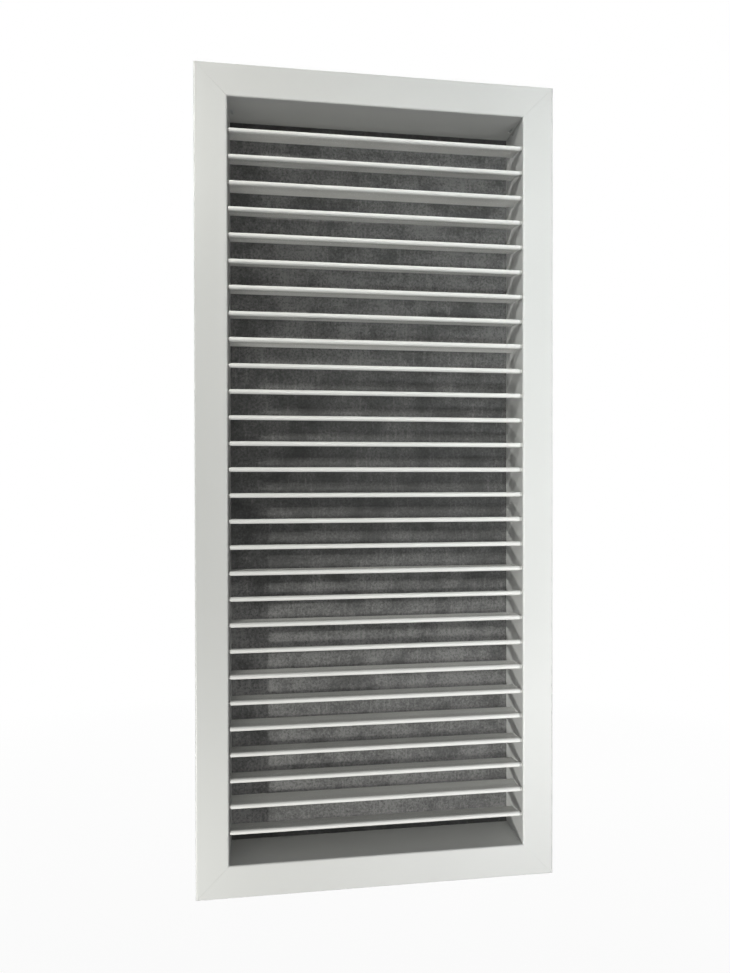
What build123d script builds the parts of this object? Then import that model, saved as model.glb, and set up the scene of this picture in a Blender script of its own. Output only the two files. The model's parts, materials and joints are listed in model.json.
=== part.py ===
from build123d import *
import os
from math import acos, atan2, cos, hypot, sin

# Louvred air grille: a mitred aluminium frame holding 28 aerofoil blades, each turned by hand.
# X runs across, Y into the wall, Z up. The origin is the centre of the opening, in the plane
# of the wall's face. Every length is in millimetres and every angle in degrees.

# Opening and frame
OPENING_W = 293.0
OPENING_H = 735.0
FLANGE_W = 31.5  # visible border round the opening
FLANGE_DEPTH = 4.0  # the flange's front face stands this far in front of the wall
NECK_DEPTH = 47.0  # the neck reaches this far behind the wall's face
SHEET = 1.4  # thickness of every extruded wall
INNER_EDGE_R = 1.8  # rounding where the flange turns into the neck
OUTER_EDGE_R = 1.5  # rounding of the flange's outer edge
MITRE_GAP = 0.1  # hairline left at each mitred corner

# Blades
BLADE_COUNT = 28
BLADE_PITCH = 25.0
BLADE_CHORD = 24.0
NOSE_R = 2.3
TAIL_R = 0.7
WAIST_X = 9.7  # from the nose bead's centre to where the thin tail begins
WAIST_HALF = 0.8
WAIST_FILLET = 30.0
NOSE_SET_BACK = 2.5  # from the flange's front face to the tip of the blades' noses
BLADE_LENGTH = 289.8
BLADE_OFFSET = -0.7  # how far right of the opening's middle the blades sit: just left of it
BLADE_STAGGER = 0.35  # the 1st, 3rd, 5th blade sit this much further right, the others further left
# How far each blade's tail was left raised above level, from the top blade down
REST_TILT = [
    3, 6, -2, 5, 3, 6, -1, 1, -6, 7, 5, 3, 1, 0,
    0, -1, -2, 2, -7, 2, -9, 1, 0, 4, -2, -4, 3, -7,
]

# Nylon bushes that carry the blades, pushed in from outside the frame
BORE_R = 1.3
SPIGOT_R = 1.25
SPIGOT_LENGTH = 9.0  # into the blade
SLEEVE_R = 2.2  # through the frame and on to the blade's end
SLEEVE_FIT = 0.02  # tight in its hole
END_FLOAT = 0.3  # between a sleeve and its blade's end
HEAD_R = 3.2
HEAD_T = 0.9  # on the outside of the frame

# Channels that hold the corner keys and the clips
HOOK_T = 0.8
HOOK_REACH = 1.5
FLANGE_CHANNEL = (8.0, 22.0)  # distance out from the opening
NECK_CHANNEL = (20.0, 32.0)  # depth behind the wall's face
NECK_CHANNEL_H = 1.3  # room inside the neck's channel
FIT = 0.1  # a key's clearance in its channel
KEY_LEG = 34.0
NECK_KEY_LEG = 26.0
CRIMP_W = 2.0  # slots punched through the neck that lock the keys of its two top corners
CRIMP_LENGTH = 8.0
CRIMP_FROM_CORNER = 2.8
SEAL_GAP = 0.3

# Spring clips in the neck's channels
CLIP_T = 0.6
CLIP_FOOT_LENGTH = 24.0
CLIP_LEAF_W = 14.0
CLIP_HEIGHT = 250.0  # each clip sits this far above or below the middle
CLIP_BEND_R = 1.5
# The leaf's corners from its root to its free end: out from its foot, and behind the wall's face
CLIP_LEAF = [(0, 28.5), (0, 27), (5, 23.5), (12, 14), (8, 7)]

FRONT_Y = -FLANGE_DEPTH
FLANGE_BACK_Y = FRONT_Y + SHEET
PIVOT_Y = FRONT_Y + NOSE_SET_BACK + NOSE_R
BLADE_Z = [(BLADE_COUNT - 1) * BLADE_PITCH / 2 - i * BLADE_PITCH for i in range(BLADE_COUNT)]
LOW_CORNER = (Align.MIN, Align.MIN)


def strip(y0, y1, u0, u1):
    """A rectangle of the frame's section: depth y0 to y1, distance u0 to u1 from the opening."""
    return Pos(y0, u0) * Rectangle(y1 - y0, u1 - u0, align=LOW_CORNER)


def flange_channel():
    """Two hooked ribs on the flange's back, open towards the wall."""
    near, far = FLANGE_CHANNEL
    ribs = strip(FLANGE_BACK_Y, 0, near - SHEET, near) + strip(FLANGE_BACK_Y, 0, far, far + SHEET)
    hooks = strip(-HOOK_T, 0, near, near + HOOK_REACH) + strip(-HOOK_T, 0, far - HOOK_REACH, far)
    return ribs + hooks


def neck_channel():
    """Two hooked ribs on the outside of the neck."""
    near, far = NECK_CHANNEL
    hook_u = SHEET + NECK_CHANNEL_H
    top_u = hook_u + HOOK_T
    ribs = strip(near - SHEET, near, SHEET, top_u) + strip(far, far + SHEET, SHEET, top_u)
    hooks = strip(near, near + HOOK_REACH, hook_u, top_u) + strip(far - HOOK_REACH, far, hook_u, top_u)
    return ribs + hooks


def frame_section():
    """The frame's extruded section, as depth and distance out from the opening."""
    section = strip(FRONT_Y, FLANGE_BACK_Y, 0, FLANGE_W)
    section += strip(FRONT_Y, NECK_DEPTH, 0, SHEET)
    section += strip(FRONT_Y, 0, FLANGE_W - SHEET, FLANGE_W)
    section += flange_channel() + neck_channel()
    front = section.vertices().group_by(Axis.X)[0].sort_by(Axis.Y)
    section = fillet(front[0], INNER_EDGE_R)
    front = section.vertices().group_by(Axis.X)[0].sort_by(Axis.Y)
    return fillet(front[-1], OUTER_EDGE_R)


def frame_side(length):
    """One mitred side along X, its opening face at Z = 0 and its flange above."""
    half = length / 2
    blank = extrude(Plane.YZ * frame_section(), amount=half + FLANGE_W, both=True)
    trim = MITRE_GAP / 2**0.5
    mitre = Polygon(
        (-half + trim, 0),
        (half - trim, 0),
        (half + FLANGE_W - trim, FLANGE_W),
        (-half - FLANGE_W + trim, FLANGE_W),
        align=None,
    )
    return blank & extrude(Plane.XZ * mitre, amount=2 * NECK_DEPTH, both=True)


def crimp_slots():
    """Cutters for the slots on both sides of the seam in the neck's two top corners."""
    depth = sum(NECK_CHANNEL) / 2
    x, z = OPENING_W / 2, OPENING_H / 2
    in_top = Pos(x - CRIMP_FROM_CORNER, depth, z) * Box(CRIMP_W, CRIMP_LENGTH, 4 * SHEET)
    in_side = Pos(x, depth, z - CRIMP_FROM_CORNER) * Box(4 * SHEET, CRIMP_LENGTH, CRIMP_W)
    right = in_top + in_side
    return right + mirror(right, about=Plane.YZ)


def bush_holes():
    """A row of holes along X, one for each blade."""
    hole = Cylinder(SLEEVE_R + SLEEVE_FIT, 4 * SHEET)
    return Compound(children=[Pos(z, PIVOT_Y, 0) * hole for z in BLADE_Z])


def frame_sides():
    """The four sides of the frame, by name."""
    level = frame_side(OPENING_W)
    upright = frame_side(OPENING_H) - bush_holes()
    slots = crimp_slots()
    return {
        "frame_top": Pos(0, 0, OPENING_H / 2) * level - slots,
        "frame_bottom": Pos(0, 0, -OPENING_H / 2) * Rot(0, 180, 0) * level,
        "frame_left": Pos(-OPENING_W / 2, 0, 0) * Rot(0, -90, 0) * upright - slots,
        "frame_right": Pos(OPENING_W / 2, 0, 0) * Rot(0, 90, 0) * upright - slots,
    }


def blade_section():
    """A round nose bead running into a thin tail, centred on the bead, with the pivot bore."""
    tail_x = BLADE_CHORD - NOSE_R - TAIL_R
    tangent = atan2(WAIST_HALF, WAIST_X) + acos(NOSE_R / hypot(WAIST_X, WAIST_HALF))
    top = (NOSE_R * cos(tangent), NOSE_R * sin(tangent))
    bottom = (top[0], -top[1])
    outline = Line(top, (WAIST_X, WAIST_HALF))
    outline += Line((WAIST_X, WAIST_HALF), (tail_x, TAIL_R))
    outline += ThreePointArc((tail_x, TAIL_R), (tail_x + TAIL_R, 0), (tail_x, -TAIL_R))
    outline += Line((tail_x, -TAIL_R), (WAIST_X, -WAIST_HALF))
    outline += Line((WAIST_X, -WAIST_HALF), bottom)
    outline += ThreePointArc(bottom, (-NOSE_R, 0), top)
    section = make_face(outline)
    waist = [v for v in section.vertices() if abs(v.X - WAIST_X) < 0.01]
    return fillet(waist, WAIST_FILLET) - Circle(BORE_R)


def blade_bar():
    """One blade, level, with its pivot bore on the X axis."""
    return extrude(Plane.YZ * blade_section(), amount=BLADE_LENGTH / 2, both=True)


def blade_shift(number):
    """How far right of the opening's middle a blade's middle is; number counts from 0 at the top."""
    return BLADE_OFFSET + (BLADE_STAGGER if number % 2 == 0 else -BLADE_STAGGER)


def end_gap(side, number):
    """From the frame's inner face to a blade's end: side is -1 for the left and 1 for the right."""
    return (OPENING_W - BLADE_LENGTH) / 2 - side * blade_shift(number)


def pin(radius, low, high):
    """A cylinder on the Z axis from low to high."""
    return Pos(0, 0, (low + high) / 2) * Cylinder(radius, high - low)


def bush(gap):
    """A bush on the Z axis: Z = 0 is the frame's inner face, the blade's end is at -gap."""
    spigot = pin(SPIGOT_R, -gap - SPIGOT_LENGTH, 0)
    sleeve = pin(SLEEVE_R, END_FLOAT - gap, SHEET)
    head = pin(HEAD_R, SHEET, SHEET + HEAD_T)
    return spigot + sleeve + head


def bush_row(side):
    """The 28 bushes of one side: side is -1 for the left and 1 for the right."""
    turn = Rot(0, 90 * side, 0)
    wall = side * OPENING_W / 2
    return Compound(
        children=[Pos(wall, PIVOT_Y, z) * turn * bush(end_gap(side, i)) for i, z in enumerate(BLADE_Z)]
    )


def corner_plate(outer_u, width, leg):
    """An L in the XZ plane round the top right corner: outer_u is its outer edge's distance."""
    x, z = OPENING_W / 2 + outer_u, OPENING_H / 2 + outer_u
    outline = Polygon(
        (x, z), (x, z - leg), (x - width, z - leg), (x - width, z - width),
        (x - leg, z - width), (x - leg, z),
        align=None,
    )
    return Plane.XZ * outline


def flange_key():
    """The flat key in the flange's channel, at the top right."""
    near, far = FLANGE_CHANNEL
    flat = corner_plate(far - FIT, far - near - 2 * FIT, KEY_LEG)
    half = (-HOOK_T - FLANGE_BACK_Y - FIT) / 2
    return Pos(0, FLANGE_BACK_Y + half, 0) * extrude(flat, amount=half, both=True)


def neck_key():
    """The bent strip in the neck's channel, at the top right."""
    near, far = NECK_CHANNEL
    thickness = NECK_CHANNEL_H - FIT
    flat = corner_plate(SHEET + thickness, thickness, NECK_KEY_LEG)
    half = (far - near) / 2
    return Pos(0, near + half, 0) * extrude(flat, amount=half - FIT, both=True)


def at_corners(piece):
    """The four copies of a top right corner piece, by corner."""
    right = piece
    left = mirror(piece, about=Plane.YZ)
    return {
        "top_right": right,
        "top_left": left,
        "bottom_right": mirror(right, about=Plane.XY),
        "bottom_left": mirror(left, about=Plane.XY),
    }


def seal_ring():
    """The foam strip round the flange's back, pressed flush with the wall's face."""
    inner = FLANGE_CHANNEL[1] + SHEET + SEAL_GAP
    outer = FLANGE_W - SHEET - SEAL_GAP
    ring = Rectangle(OPENING_W + 2 * outer, OPENING_H + 2 * outer)
    ring -= Rectangle(OPENING_W + 2 * inner, OPENING_H + 2 * inner)
    half = -FLANGE_BACK_Y / 2
    return Pos(0, -half, 0) * extrude(Plane.XZ * ring, amount=half, both=True)


def spring_clip():
    """A clip for the right side at Z = 0: a foot in the neck's channel and a bowed leaf."""
    near, far = NECK_CHANNEL
    foot_x = OPENING_W / 2 + SHEET + FIT / 2
    foot = Pos(foot_x, near + FIT, 0) * Box(
        CLIP_T, far - near - 2 * FIT, CLIP_FOOT_LENGTH, align=(Align.MIN, Align.MIN, Align.CENTER)
    )
    mid = foot_x + CLIP_T / 2
    line = FilletPolyline(*[(mid + out, depth) for out, depth in CLIP_LEAF], radius=CLIP_BEND_R)
    leaf = extrude(trace(line, line_width=CLIP_T), amount=CLIP_LEAF_W / 2, both=True)
    return foot + leaf


def spring_clips():
    """The four clips, by name."""
    right = spring_clip()
    left = mirror(right, about=Plane.YZ)
    clips = {}
    for side, clip in (("left", left), ("right", right)):
        clips[f"spring_clip_upper_{side}"] = Pos(0, 0, CLIP_HEIGHT) * clip
        clips[f"spring_clip_lower_{side}"] = Pos(0, 0, -CLIP_HEIGHT) * clip
    return clips


def blades():
    """The 28 blades at their rest tilts, by name, from the top down."""
    bar = blade_bar()
    return {
        f"blade_{i + 1:02d}": Pos(blade_shift(i), PIVOT_Y, z) * Rot(tilt, 0, 0) * bar
        for i, (z, tilt) in enumerate(zip(BLADE_Z, REST_TILT))
    }


def all_nodes():
    """Every node of the grille, by name."""
    nodes = frame_sides()
    nodes |= {f"flange_key_{corner}": key for corner, key in at_corners(flange_key()).items()}
    nodes |= {f"neck_key_{corner}": key for corner, key in at_corners(neck_key()).items()}
    nodes |= {"bushes_left": bush_row(-1), "bushes_right": bush_row(1), "foam_seal": seal_ring()}
    nodes |= spring_clips()
    nodes |= blades()
    return nodes


os.makedirs("parts", exist_ok=True)
for name, shape in all_nodes().items():
    export_step(shape, f"parts/{name}.step")
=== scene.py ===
import json
from math import radians

import bpy
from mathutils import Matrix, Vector

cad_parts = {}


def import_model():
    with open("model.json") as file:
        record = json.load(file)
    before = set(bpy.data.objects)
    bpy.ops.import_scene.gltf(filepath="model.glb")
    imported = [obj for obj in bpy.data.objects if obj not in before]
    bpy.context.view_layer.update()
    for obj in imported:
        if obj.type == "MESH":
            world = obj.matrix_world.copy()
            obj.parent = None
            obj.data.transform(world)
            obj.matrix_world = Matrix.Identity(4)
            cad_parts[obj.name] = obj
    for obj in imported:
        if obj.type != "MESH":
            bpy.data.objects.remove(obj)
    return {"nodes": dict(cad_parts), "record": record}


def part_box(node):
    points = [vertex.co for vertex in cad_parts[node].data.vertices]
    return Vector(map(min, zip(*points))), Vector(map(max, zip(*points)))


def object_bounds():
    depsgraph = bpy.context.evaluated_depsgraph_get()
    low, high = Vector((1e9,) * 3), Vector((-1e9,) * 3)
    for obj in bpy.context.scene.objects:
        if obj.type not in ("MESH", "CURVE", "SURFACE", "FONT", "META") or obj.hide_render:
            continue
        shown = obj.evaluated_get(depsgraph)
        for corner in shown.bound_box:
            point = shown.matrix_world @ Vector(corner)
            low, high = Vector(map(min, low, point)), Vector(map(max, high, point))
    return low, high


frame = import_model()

# A louvred air grille above a pale studio floor. Lengths are in metres: X runs to the right,
# Y into the wall and Z up, from the centre of the opening in the wall's face.

CAD_BOX = [list(corner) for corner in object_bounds()]
NECK_END_Y = CAD_BOX[1][1]
GRILLE_BOTTOM_Z = CAD_BOX[0][2]
MICRON = 0.000001

WORLD_ON_OBJECT = 0.148  # the world's strength for all but the camera, which sees plain white

# The duct panel's darkest and lightest colours: painted shade standing in for the unlit inside of the
# duct
DUCT_SHADE_DARK, DUCT_SHADE_LIGHT = (0.010, 0.010, 0.0098), (0.096, 0.0955, 0.093)
DUCT_PAINTED_GLOW = 0.5  # painted glow, though the panel is no lamp, so that the frame's own shadows stay faint on it
DUCT_LAP = 0.0003  # how far it reaches past the opening and stands behind the neck
DUCT_MIDDLE = (0.03, 0.16)  # heights from the middle between which it brightens from half to full
DUCT_RIM_SHADOW = (0.0125, 0.0065)  # distances from the top and bottom between which it dims to a quarter, a painted shadow of the neck's walls

FLOOR_HALF = 12.0
FLOOR_DROP = 0.75  # below the grille
FLOOR_FADE = (1.2, 3.5)  # distances from the grille between which the floor turns white

LENS_MM = 26.55
CAMERA_AT = (-0.1112, -0.7001, 0.0007)
CAMERA_TURN = (89.608, 0.08, -7.89)  # degrees: nearly level, and turned a little to the right

WHITE = (1.0, 1.0, 1.0)
WARM = (1.0, 1.0, 0.955)
COOL = (0.965, 1.0, 0.995)
# Name, place, what it points at, width and height, watts, spread in degrees and colour
LIGHTS = (
    ("upper_left", (-0.98, -1.40, 1.20), (0, 0, 0.30), (0.08, 0.08), 0.39, 28, WARM),
    ("upper_left_edge", (-0.98, -1.40, 1.20), (-0.32, 0, 0.30), (0.08, 0.08), 0.48, 24, WARM),
    ("lower_left", (-1.50, -1.80, -0.96), (0, 0, -0.41), (0.08, 0.08), 0.31, 33, WARM),
    ("lower_left_edge", (-1.50, -1.80, -0.96), (-0.30, 0, -0.38), (0.08, 0.08), 1.03, 26, WARM),
    ("front", (0.00, -2.00, 0.00), (0.55, 0, 0), (0.2, 0.2), 1.17, 40, COOL),
    ("front_low", (0.00, -1.80, -0.80), (0.45, 0, -0.35), (0.2, 0.2), 0.85, 36, WHITE),
    ("front_high", (0.00, -1.80, 0.80), (0.45, 0, 0.35), (0.2, 0.2), 1.09, 36, COOL),
    ("sheen_low", (0.90, -1.60, -0.80), (0, 0, -0.3), (0.3, 0.3), 4.3, 180, WHITE),
    ("behind", (0.60, 2.40, 0.50), (0, 0, 0), (2.4, 2.4), 26.0, 180, WHITE),
    ("behind_left", (-2.20, 1.20, 0.30), (0, 0, 0), (2.4, 2.4), 20.0, 180, WHITE),
    ("beside_right", (2.40, 0.90, 0.30), (0, 0, 0), (1.6, 2.0), 14.0, 180, WHITE),
)


# ---- shader nodes
def new_material(name, color, roughness, metallic=0.0):
    """A Principled material with its plain numbers set on the shader's own sockets."""
    material = bpy.data.materials.new(name)
    material.use_nodes = True
    shader = material.node_tree.nodes["Principled BSDF"]
    shader.inputs["Base Color"].default_value = (*color, 1)
    shader.inputs["Roughness"].default_value = roughness
    shader.inputs["Metallic"].default_value = metallic
    return material, shader


def node(material, kind, inputs=None, **settings):
    """A shader node of one kind, with the inputs and settings that differ from its own."""
    made = material.node_tree.nodes.new(kind)
    for key, value in (inputs or {}).items():
        made.inputs[key].default_value = value
    for key, value in settings.items():
        setattr(made, key, value)
    return made


def link(material, source, target):
    material.node_tree.links.new(source, target)


def place(material, scale=(1, 1, 1)):
    """Object coordinates, stretched by scale: a node's object sits at the origin, so these are metres."""
    coordinates = node(material, "ShaderNodeTexCoord")
    mapping = node(material, "ShaderNodeMapping", {"Scale": scale})
    link(material, coordinates.outputs["Object"], mapping.inputs["Vector"])
    return mapping.outputs["Vector"]


def noise(material, vector, scale, detail=3.0, roughness=0.5):
    """Noise with about scale lumps in a metre."""
    made = node(
        material, "ShaderNodeTexNoise", {"Scale": scale, "Detail": detail, "Roughness": roughness}
    )
    link(material, vector, made.inputs["Vector"])
    return made.outputs["Fac"]


def spread(material, value, low, high, from_low=0.3, from_high=0.7):
    """value, held between from_low and from_high, moved onto low to high."""
    made = node(material, "ShaderNodeMapRange", {
        "From Min": from_low, "From Max": from_high, "To Min": low, "To Max": high,
    })
    link(material, value, made.inputs["Value"])
    return made.outputs["Result"]


def tint(material, factor, color_a, color_b):
    """color_a where factor is 0, color_b where it is 1."""
    made = node(material, "ShaderNodeMix", data_type="RGBA")
    made.inputs["A"].default_value = (*color_a, 1)
    made.inputs["B"].default_value = (*color_b, 1)
    link(material, factor, made.inputs["Factor"])
    return made.outputs["Result"]


def times(material, value, factor):
    made = node(material, "ShaderNodeMath", operation="MULTIPLY")
    link(material, value, made.inputs[0])
    link(material, factor, made.inputs[1])
    return made.outputs["Value"]


def bump(material, shader, heights):
    """heights: (value, height in metres) from the coarsest to the finest."""
    normal = None
    for value, height in heights:
        made = node(material, "ShaderNodeBump", {"Strength": 1.0, "Distance": height})
        link(material, value, made.inputs["Height"])
        if normal is not None:
            link(material, normal, made.inputs["Normal"])
        normal = made.outputs["Normal"]
    link(material, normal, shader.inputs["Normal"])


def show_mix(material, factor, first, second):
    """The surface is the first shader where factor is 0 and the second where it is 1."""
    mix = node(material, "ShaderNodeMixShader")
    link(material, factor, mix.inputs["Fac"])
    link(material, first, mix.inputs[1])
    link(material, second, mix.inputs[2])
    surface = material.node_tree.nodes["Material Output"].inputs["Surface"]
    link(material, mix.outputs["Shader"], surface)


# ---- the grille's materials
def powder_coat(name, light, dark, roughness):
    """Satin light grey powder coat: orange peel, faint cloudiness and fine grain."""
    material, shader = new_material(name, light, roughness)
    at = place(material)
    clouds = noise(material, at, 6.0, detail=4.0)
    color = tint(material, spread(material, clouds, 0, 1), light, dark)
    link(material, color, shader.inputs["Base Color"])
    grain = noise(material, at, 900.0, detail=2.0)
    sheen = spread(material, grain, roughness - 0.02, roughness + 0.03)
    link(material, sheen, shader.inputs["Roughness"])
    peel = noise(material, at, 700.0, detail=1.0)
    bump(material, shader, [(peel, 4 * MICRON), (grain, 2 * MICRON)])
    return material


def key_aluminium():
    """Mill-finish strip: long drawing lines and small dull patches."""
    material, shader = new_material("key_aluminium", (0.62, 0.63, 0.64), 0.34, metallic=1.0)
    lines = noise(material, place(material, (1, 60, 1)), 35.0, detail=5.0, roughness=0.7)
    patches = noise(material, place(material), 90.0, detail=4.0)
    color = tint(material, spread(material, patches, 0, 1), (0.66, 0.67, 0.68), (0.52, 0.53, 0.54))
    link(material, color, shader.inputs["Base Color"])
    link(material, spread(material, lines, 0.26, 0.46), shader.inputs["Roughness"])
    bump(material, shader, [(lines, 20 * MICRON)])
    return material


def nylon():
    """Moulded grey-white nylon: slightly uneven in tone, with a fine spark-eroded grain."""
    material, shader = new_material("nylon", (0.52, 0.52, 0.50), 0.42)
    at = place(material)
    flow = noise(material, at, 140.0, detail=3.0)
    grain = noise(material, at, 1800.0, detail=2.0)
    color = tint(material, spread(material, flow, 0, 1), (0.55, 0.55, 0.53), (0.47, 0.47, 0.45))
    link(material, color, shader.inputs["Base Color"])
    link(material, spread(material, grain, 0.36, 0.52), shader.inputs["Roughness"])
    bump(material, shader, [(flow, 20 * MICRON), (grain, 10 * MICRON)])
    return material


def foam():
    """Black closed-cell foam: packed cells about 1 mm across, with grey walls between them."""
    material, shader = new_material("foam", (0.03, 0.03, 0.033), 0.92)
    at = place(material)
    cells = node(
        material, "ShaderNodeTexVoronoi", {"Scale": 900.0, "Randomness": 0.9}, feature="F1"
    )
    link(material, at, cells.inputs["Vector"])
    rim = spread(material, cells.outputs["Distance"], 0, 1, 0.25, 0.75)
    color = tint(material, rim, (0.018, 0.018, 0.020), (0.060, 0.060, 0.064))
    link(material, color, shader.inputs["Base Color"])
    dust = noise(material, at, 60.0, detail=5.0)
    link(material, spread(material, dust, 0.84, 0.98), shader.inputs["Roughness"])
    bump(material, shader, [(dust, 100 * MICRON), (rim, 180 * MICRON)])
    return material


def spring_steel():
    """Rolled spring steel: fine rolling lines up the strip and a faint straw and blue temper tint."""
    material, shader = new_material("spring_steel", (0.42, 0.42, 0.43), 0.44, metallic=1.0)
    rolling = noise(material, place(material, (60, 60, 1)), 25.0, detail=6.0, roughness=0.7)
    temper = noise(material, place(material), 45.0, detail=2.0)
    color = tint(material, spread(material, temper, 0, 1), (0.43, 0.41, 0.37), (0.35, 0.37, 0.41))
    link(material, color, shader.inputs["Base Color"])
    link(material, spread(material, rolling, 0.36, 0.54), shader.inputs["Roughness"])
    bump(material, shader, [(rolling, 15 * MICRON)])
    return material


def finish_nodes():
    """Give every CAD node the material of its slot in the record."""
    slots = {
        "frame_coat": powder_coat("frame_coat", (0.67, 0.675, 0.665), (0.645, 0.65, 0.64), 0.36),
        # the blades' coat is lighter than the frame's, in part as painted highlight for their bright
        # noses
        "blade_coat": powder_coat("blade_coat", (0.81, 0.81, 0.79), (0.78, 0.78, 0.76), 0.25),
        "key_aluminium": key_aluminium(),
        "nylon": nylon(),
        "foam": foam(),
        "spring_steel": spring_steel(),
    }
    for part in frame["record"]["subparts"]:
        mesh = frame["nodes"][part["node"]].data
        mesh.materials.clear()
        mesh.materials.append(slots[part["material_slot"]])


# ---- the stage
def panel(name, corners, material):
    """A flat four-sided piece of the stage."""
    mesh = bpy.data.meshes.new(name)
    mesh.from_pydata(corners, [], [(0, 1, 2, 3)])
    made = bpy.data.objects.new(name, mesh)
    bpy.context.scene.collection.objects.link(made)
    mesh.materials.append(material)
    return made


def painted_duct_shade(half_height):
    """Painted shade for the inside of the duct: dark stained and pitted stone, half_height above and
    below its middle, with painted shadow along its top and bottom and a faint painted glow. It has no
    back.
    """
    material, shader = new_material("duct_shade", (0.1, 0.1, 0.1), 0.6)
    at = place(material)
    stains = noise(material, at, 26.0, detail=9.0, roughness=0.72)
    pits = noise(material, at, 380.0, detail=5.0, roughness=0.8)
    scratches = noise(material, place(material, (1, 1, 0.12)), 260.0, detail=3.0, roughness=0.7)
    axes = node(material, "ShaderNodeSeparateXYZ")
    link(material, at, axes.inputs["Vector"])
    height = node(material, "ShaderNodeMath", operation="ABSOLUTE")
    link(material, axes.outputs["Z"], height.inputs[0])
    # the dimming towards the top and bottom is painted shadow of the neck's top and bottom walls
    rim = [half_height - distance for distance in DUCT_RIM_SHADOW]
    grey = spread(material, stains, 0.32, 1.02, 0.39, 0.61)
    for factor in (
        spread(material, pits, 0.30, 1.65, 0.36, 0.64),
        spread(material, scratches, 0.9, 1.5, 0.55, 0.72),
        spread(material, height.outputs["Value"], 0.5, 1.0, *DUCT_MIDDLE),
        spread(material, height.outputs["Value"], 1.0, 0.25, *rim),
    ):
        grey = times(material, grey, factor)
    shade = tint(material, grey, DUCT_SHADE_DARK, DUCT_SHADE_LIGHT)
    link(material, shade, shader.inputs["Base Color"])
    # painted glow: the panel gives off its own colour as light
    link(material, shade, shader.inputs["Emission Color"])
    shader.inputs["Emission Strength"].default_value = DUCT_PAINTED_GLOW
    face = node(material, "ShaderNodeNewGeometry")
    clear = node(material, "ShaderNodeBsdfTransparent")
    show_mix(material, face.outputs["Backfacing"], shader.outputs["BSDF"], clear.outputs["BSDF"])
    return material


def duct_shade():
    """The painted shade inside the duct: one dark panel close behind the neck, as large as the opening.
    """
    x0, x1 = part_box("frame_left")[1][0] - DUCT_LAP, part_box("frame_right")[0][0] + DUCT_LAP
    z0, z1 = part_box("frame_bottom")[1][2] - DUCT_LAP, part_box("frame_top")[0][2] + DUCT_LAP
    y = NECK_END_Y + DUCT_LAP
    stone = painted_duct_shade(z1 - DUCT_LAP)
    panel("duct_shade", [(x0, y, z0), (x1, y, z0), (x1, y, z1), (x0, y, z1)], stone)


def floor_paint():
    """Pale matt paint, faintly speckled, which turns into plain white light far from the grille."""
    material, shader = new_material("floor", (0.9, 0.9, 0.89), 0.8)
    at = place(material)
    speckle = noise(material, at, 3.0, detail=6.0)
    color = tint(material, speckle, (0.92, 0.92, 0.915), (0.87, 0.87, 0.865))
    link(material, color, shader.inputs["Base Color"])
    distance = node(material, "ShaderNodeVectorMath", operation="LENGTH")
    link(material, at, distance.inputs[0])
    fade = spread(material, distance.outputs["Value"], 0.90, 1.0, *FLOOR_FADE)
    seen = node(material, "ShaderNodeLightPath")
    glow = node(material, "ShaderNodeEmission", {"Color": (*WHITE, 1)})
    link(material, seen.outputs["Is Camera Ray"], glow.inputs["Strength"])
    show_mix(material, fade, shader.outputs["BSDF"], glow.outputs["Emission"])
    return material


def floor():
    """A wide floor well below the grille, which neither lights it nor shows in its reflections."""
    half, z = FLOOR_HALF, GRILLE_BOTTOM_Z - FLOOR_DROP
    corners = [(-half, -half, z), (half, -half, z), (half, half, z), (-half, half, z)]
    made = panel("floor", corners, floor_paint())
    made.visible_diffuse = False
    made.visible_glossy = False


def soft_light(name, at, aim, size, watts, spread_degrees, color):
    """A rectangular light at one place, turned towards another, which the camera doesn't see."""
    data = bpy.data.lights.new(name, "AREA")
    data.shape = "RECTANGLE"
    data.size, data.size_y = size
    data.energy = watts
    data.spread = radians(spread_degrees)
    data.color = color
    made = bpy.data.objects.new(name, data)
    made.location = at
    made.visible_camera = False
    made.rotation_euler = (Vector(aim) - Vector(at)).to_track_quat("-Z", "Y").to_euler()
    bpy.context.scene.collection.objects.link(made)


def world():
    """White to look at, but only softly bright on the object."""
    made = bpy.data.worlds.new("studio")
    made.use_nodes = True
    nodes, links = made.node_tree.nodes, made.node_tree.links
    background = nodes["Background"]
    background.inputs["Color"].default_value = (*WHITE, 1)
    seen = nodes.new("ShaderNodeLightPath")
    strength = nodes.new("ShaderNodeMapRange")
    strength.inputs["To Min"].default_value = WORLD_ON_OBJECT
    strength.inputs["To Max"].default_value = 1.0
    links.new(seen.outputs["Is Camera Ray"], strength.inputs["Value"])
    links.new(strength.outputs["Result"], background.inputs["Strength"])
    bpy.context.scene.world = made


def camera():
    """Level with the grille's middle, a little to its left and about 0.7 m in front of it."""
    data = bpy.data.cameras.new("camera")
    data.sensor_width = 36.0
    data.lens = LENS_MM
    made = bpy.data.objects.new("camera", data)
    made.location = CAMERA_AT
    made.rotation_euler = [radians(degrees) for degrees in CAMERA_TURN]
    bpy.context.scene.collection.objects.link(made)
    bpy.context.scene.camera = made


finish_nodes()
duct_shade()
floor()
world()
for light in LIGHTS:
    soft_light(*light)
camera()
bpy.context.scene.view_settings.view_transform = "Standard"
